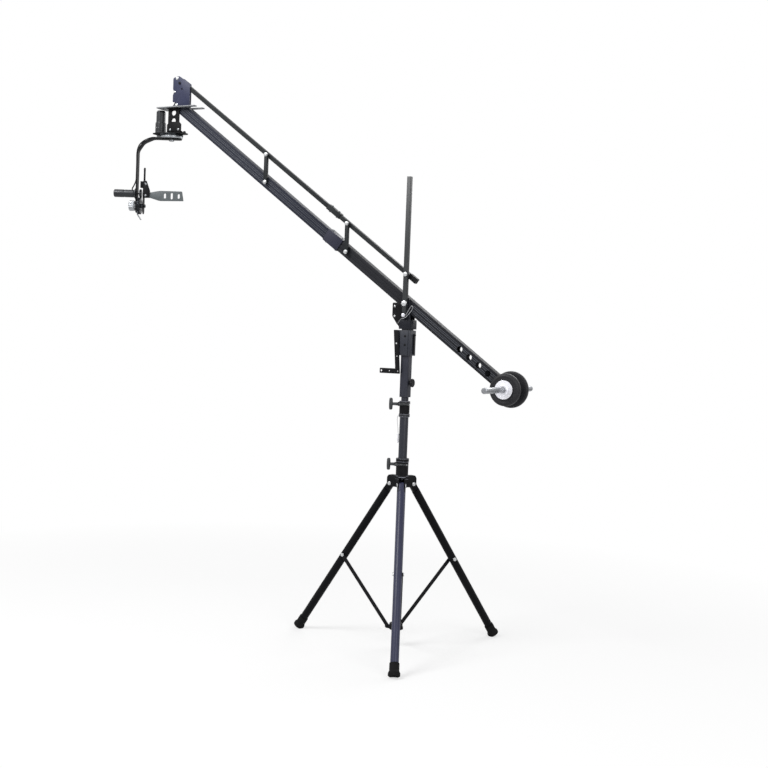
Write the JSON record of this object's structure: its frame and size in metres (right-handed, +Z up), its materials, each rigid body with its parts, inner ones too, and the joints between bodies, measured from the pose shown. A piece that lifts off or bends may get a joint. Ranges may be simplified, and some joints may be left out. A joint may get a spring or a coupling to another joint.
{
  "type": "camera jib crane",
  "caption": "Counterweighted boom with a levelling rod on a folding tripod stand, carrying a motorised pan and tilt camera head.",
  "frame": {"origin": "middle of the crane's box, on the floor", "axes": "+Z up, -X towards the boom's nose and the head, +X towards the weights, -Y the near side with the upright handle"},
  "size_m": [2.1144, 0.9388, 2.5585],
  "materials": {
    "black_paint": "satin powder coat",
    "blue_paint": "satin dark blue coat",
    "boom_paint": "dark slate blue anodised",
    "rod_paint": "black anodised",
    "head_black": "black anodised",
    "zinc": "bright zinc plated",
    "chrome": "polished",
    "iron_weight": "black enamel",
    "motor_case": "black with a worn sheen",
    "grey_plate": "grey anodised",
    "bare_tube": "satin",
    "rubber": "moulded",
    "cable_jacket": "smooth jacket",
    "wire_rope": "bare wire rope",
    "black_plastic": "moulded"
  },
  "bodies": {
    "mast": {"main_tube": "blue_paint", "tube_foot_cap": "black_plastic", "spreader_hub": "black_paint", "upper_collar": "black_paint", "safety_lanyard": "wire_rope"},
    "leg_hub": {"leg_hub": "black_paint"},
    "leg_1": {"leg_1": "blue_paint", "foot_1": "rubber"},
    "leg_2": {"leg_2": "black_paint", "foot_2": "rubber"},
    "leg_3": {"leg_3": "black_paint", "foot_3": "rubber"},
    "strut_1": {"strut_1": "black_paint"},
    "strut_2": {"strut_2": "black_paint"},
    "strut_3": {"strut_3": "black_paint"},
    "riser": {"inner_tube": "bare_tube", "square_post": "blue_paint", "sleeve": "blue_paint", "l_bracket": "black_paint"},
    "upper_t_knob": {"upper_t_knob": "black_plastic"},
    "lower_t_knob": {"lower_t_knob": "black_plastic"},
    "clamp_knob": {"clamp_knob": "black_plastic"},
    "pan_lock_lever": {"pan_lock_lever": "black_plastic"},
    "yoke": {"yoke": "blue_paint", "lock_plate": "black_paint", "fulcrum_bolt": "zinc", "upright_handle": "black_paint", "rod_pivot_bolt": "zinc", "pin_lanyard": "wire_rope"},
    "quick_release_pin": {"quick_release_pin": "chrome"},
    "boom": {"front_beam": "boom_paint", "rear_beam": "boom_paint", "beam_splice": "boom_paint", "weight_bar": "chrome"},
    "rod": {"rod_front": "rod_paint", "rod_rear": "rod_paint"},
    "link_1": {"link_1": "rod_paint"},
    "link_2": {"link_2": "rod_paint"},
    "near_load": {"near_weight": "iron_weight", "near_collar": "chrome"},
    "far_load": {"far_weight": "iron_weight"},
    "front": {"front_plate_near": "boom_paint", "front_plate_far": "boom_paint", "platform": "head_black", "hanger": "head_black", "base_plate": "head_black", "pan_motor": "motor_case"},
    "pan_pinion": {"pan_pinion": "zinc"},
    "thumb_screw": {"thumb_screw": "black_plastic"},
    "head_pan": {"turntable": "zinc", "pan_gear": "zinc", "j_arm": "head_black", "tilt_motor": "motor_case", "gear_guard": "zinc", "head_cable": "cable_jacket"},
    "tilt_pinion": {"tilt_pinion": "zinc"},
    "tilt_knob": {"tilt_knob": "zinc"},
    "head_tilt": {"tilt_gear": "zinc", "cradle": "head_black", "camera_plate": "grey_plate"}
  },
  "joints": [
    {"name": "leg_hub_slide", "type": "slide", "parent": "mast", "child": "leg_hub", "axis": [0, 0, 1], "range_m": [0, 0.161], "deforming": ["safety_lanyard"]},
    {"name": "leg_1_fold", "type": "hinge", "parent": "leg_hub", "child": "leg_1", "pos_m": [0.52477, -0.03104, 0.7135], "axis": [0.8961, 0.4439, 0], "range_deg": [0, 33.6]},
    {"name": "strut_1_fold", "type": "hinge", "parent": "leg_1", "child": "strut_1", "pos_m": [0.62557, -0.2345, 0.37008], "axis": [-0.8961, -0.4439, 0], "range_deg": [0, 71.8]},
    {"name": "leg_2_fold", "type": "hinge", "parent": "leg_hub", "child": "leg_2", "pos_m": [0.53057, 0.06005, 0.7135], "axis": [-0.8325, 0.554, 0], "range_deg": [0, 33.6]},
    {"name": "strut_2_fold", "type": "hinge", "parent": "leg_2", "child": "strut_2", "pos_m": [0.65637, 0.24908, 0.37008], "axis": [0.8325, -0.554, 0], "range_deg": [0, 71.8]},
    {"name": "leg_3_fold", "type": "hinge", "parent": "leg_hub", "child": "leg_3", "pos_m": [0.44878, 0.01953, 0.7135], "axis": [-0.0636, -0.998, 0], "range_deg": [0, 33.6]},
    {"name": "strut_3_fold", "type": "hinge", "parent": "leg_3", "child": "strut_3", "pos_m": [0.22217, 0.03396, 0.37008], "axis": [0.0636, 0.998, 0], "range_deg": [0, 71.8]},
    {"name": "upper_t_knob_turn", "type": "hinge", "parent": "mast", "child": "upper_t_knob", "pos_m": [0.50137, 0.01618, 1.063], "axis": [-0.8961, -0.4439, 0], "range_deg": [0, 720]},
    {"name": "lower_t_knob_turn", "type": "hinge", "parent": "leg_hub", "child": "lower_t_knob", "pos_m": [0.50137, 0.01618, 0.8], "axis": [-0.8961, -0.4439, 0], "range_deg": [0, 720]},
    {"name": "riser_slide", "type": "slide", "parent": "mast", "child": "riser", "axis": [0, 0, 1], "range_m": [-0.015, 0.45]},
    {"name": "clamp_knob_turn", "type": "hinge", "parent": "riser", "child": "clamp_knob", "pos_m": [0.50137, 0.01618, 1.157], "axis": [1, 0, 0], "range_deg": [0, 720]},
    {"name": "pan_lock_lever_swing", "type": "hinge", "parent": "riser", "child": "pan_lock_lever", "pos_m": [0.53137, 0.02118, 1.365], "axis": [1, 0, 0], "range_deg": [0, 90]},
    {"name": "pan", "type": "hinge", "parent": "riser", "child": "yoke", "pos_m": [0.50137, 0.01618, 1.396], "axis": [0, 0, 1], "continuous": true},
    {"name": "quick_release_pin_pull", "type": "slide", "parent": "yoke", "child": "quick_release_pin", "axis": [0, -1, 0], "range_m": [0, 0.03]},
    {"name": "boom_tilt", "type": "hinge", "parent": "yoke", "child": "boom", "pos_m": [0.50137, 0.01618, 1.5], "axis": [0, 1, 0], "range_deg": [-60, 8]},
    {"name": "rod_tilt", "type": "hinge", "parent": "yoke", "child": "rod", "pos_m": [0.50137, 0.01618, 1.6257], "axis": [0, 1, 0], "range_deg": [-60, 8]},
    {"name": "front_level", "type": "hinge", "parent": "boom", "child": "front", "pos_m": [-0.76318, 0.01618, 2.41948], "axis": [0, 1, 0], "range_deg": [-8, 60]},
    {"name": "link_1_swing", "type": "hinge", "parent": "boom", "child": "link_1", "pos_m": [-0.24118, 0.01618, 2.03993], "axis": [0, 1, 0], "range_deg": [-8, 60]},
    {"name": "link_2_swing", "type": "hinge", "parent": "boom", "child": "link_2", "pos_m": [0.19678, 0.01618, 1.72148], "axis": [0, 1, 0], "range_deg": [-8, 60]},
    {"name": "near_weight_slide", "type": "slide", "parent": "boom", "child": "near_load", "axis": [0, -1, 0], "range_m": [0, 0.19]},
    {"name": "far_weight_slide", "type": "slide", "parent": "boom", "child": "far_load", "axis": [0, 1, 0], "range_m": [0, 0.19]},
    {"name": "head_pan_turn", "type": "hinge", "parent": "front", "child": "head_pan", "pos_m": [-0.80498, 0.01618, 2.27678], "axis": [0, 0, 1], "range_deg": [-170, 170]},
    {"name": "pan_pinion_spin", "type": "hinge", "parent": "front", "child": "pan_pinion", "pos_m": [-0.87298, 0.01618, 2.27678], "axis": [0, 0, 1], "range_deg": [-555, 555]},
    {"name": "thumb_screw_turn", "type": "hinge", "parent": "front", "child": "thumb_screw", "pos_m": [-0.73018, 0.00618, 2.28909], "axis": [1, 0, 0], "range_deg": [0, 720]},
    {"name": "head_tilt_turn", "type": "hinge", "parent": "head_pan", "child": "head_tilt", "pos_m": [-0.9373, -0.04552, 1.93853], "axis": [0.9063, 0.4226, 0], "range_deg": [-90, 90]},
    {"name": "tilt_pinion_spin", "type": "hinge", "parent": "head_pan", "child": "tilt_pinion", "pos_m": [-0.93368, -0.04383, 1.99653], "axis": [0.9063, 0.4226, 0], "range_deg": [-175, 175]},
    {"name": "tilt_knob_turn", "type": "hinge", "parent": "head_tilt", "child": "tilt_knob", "pos_m": [-0.96812, -0.05989, 1.93853], "axis": [0.9063, 0.4226, 0], "range_deg": [0, 720]}
  ],
  "couplings": [
    {"joint": "leg_1_fold", "follows": "leg_hub_slide", "rad_per_m": 3.627},
    {"joint": "strut_1_fold", "follows": "leg_hub_slide", "rad_per_m": 7.7591},
    {"joint": "leg_2_fold", "follows": "leg_hub_slide", "rad_per_m": 3.627},
    {"joint": "strut_2_fold", "follows": "leg_hub_slide", "rad_per_m": 7.7591},
    {"joint": "leg_3_fold", "follows": "leg_hub_slide", "rad_per_m": 3.627},
    {"joint": "strut_3_fold", "follows": "leg_hub_slide", "rad_per_m": 7.7591},
    {"joint": "rod_tilt", "follows": "boom_tilt", "ratio": 1},
    {"joint": "front_level", "follows": "boom_tilt", "ratio": -1},
    {"joint": "link_1_swing", "follows": "boom_tilt", "ratio": -1},
    {"joint": "link_2_swing", "follows": "boom_tilt", "ratio": -1},
    {"joint": "pan_pinion_spin", "follows": "head_pan_turn", "ratio": -3.25},
    {"joint": "tilt_pinion_spin", "follows": "head_tilt_turn", "ratio": -1.9}
  ]
}
